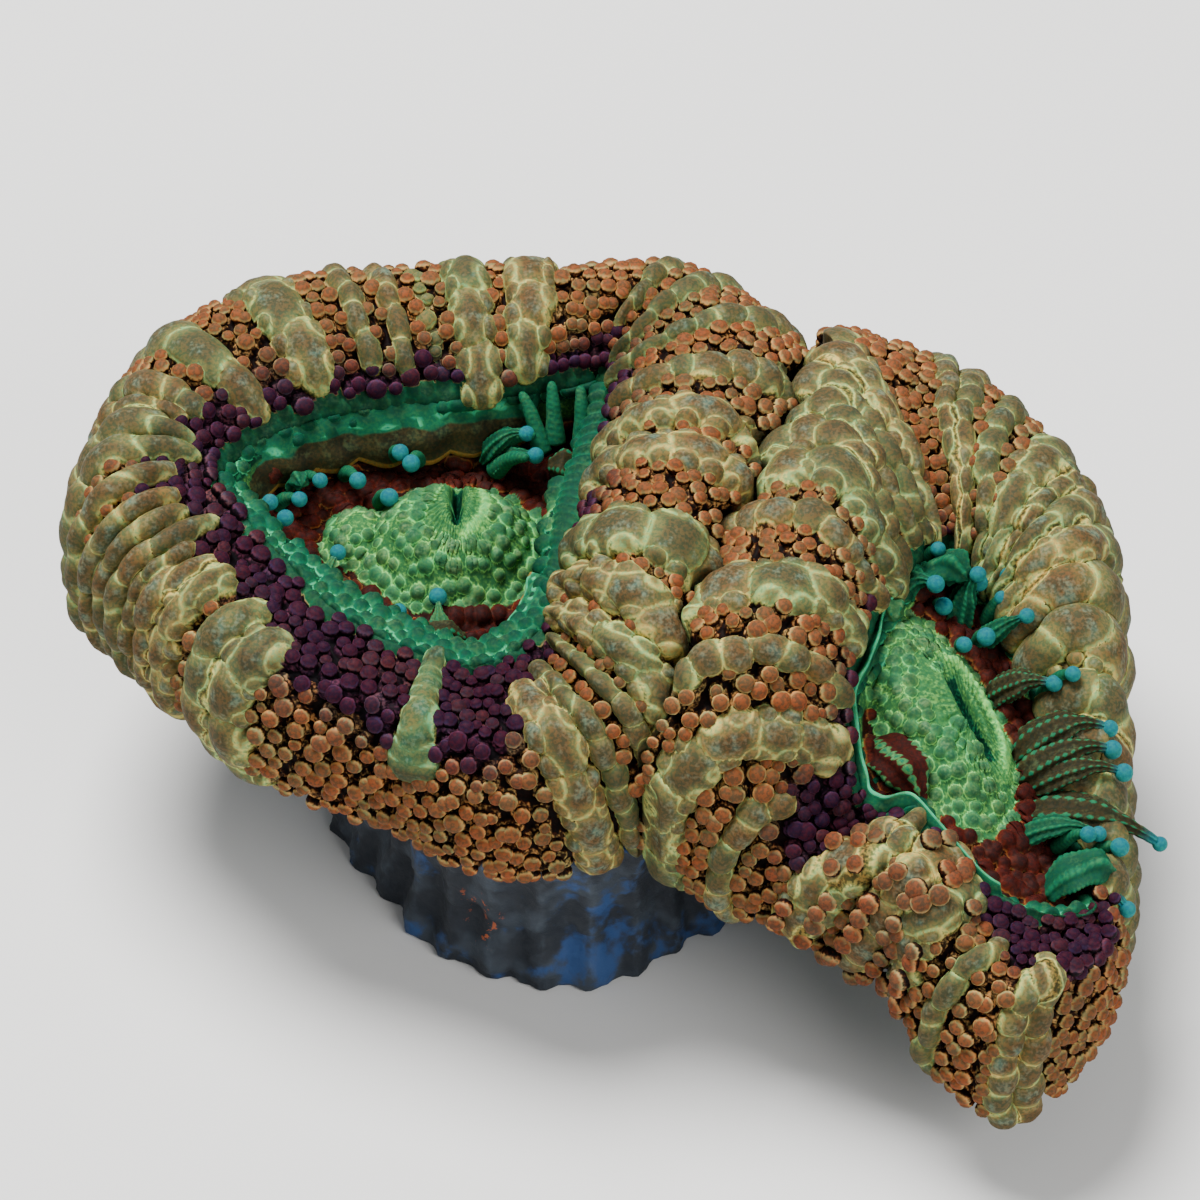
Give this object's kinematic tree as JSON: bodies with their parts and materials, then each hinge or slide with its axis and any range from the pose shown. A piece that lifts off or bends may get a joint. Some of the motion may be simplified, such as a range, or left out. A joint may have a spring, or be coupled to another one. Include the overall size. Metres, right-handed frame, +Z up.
{
  "type": "acan coral",
  "caption": "Acan coral colony: fleshy lobed polyps with oral discs and tentacles, joined on a stony foot that is cut flat to rest on.",
  "frame": {"origin": "middle of the flat cut under the stony foot, at the level of the surface that it rests on", "axes": "+Z up; +X from the larger polyp on the left towards the smaller one on the right; -Y towards the side that the smaller polyp's low front lobe hangs on"},
  "size_m": [0.0486, 0.0398, 0.023],
  "materials": {
    "stone": "rough dark coral stone with faint upright ribs",
    "left_flesh": "soft moist flesh: orange brown and olive vesicles with yellow rims, violet band, green disc",
    "right_flesh": "soft moist flesh: tan and olive vesicles with yellow rims, green domed disc, blue tipped tentacles"
  },
  "bodies": {
    "root": {"skeleton": "stone", "left_polyp": "left_flesh", "right_polyp": "right_flesh"}
  },
  "joints": []
}
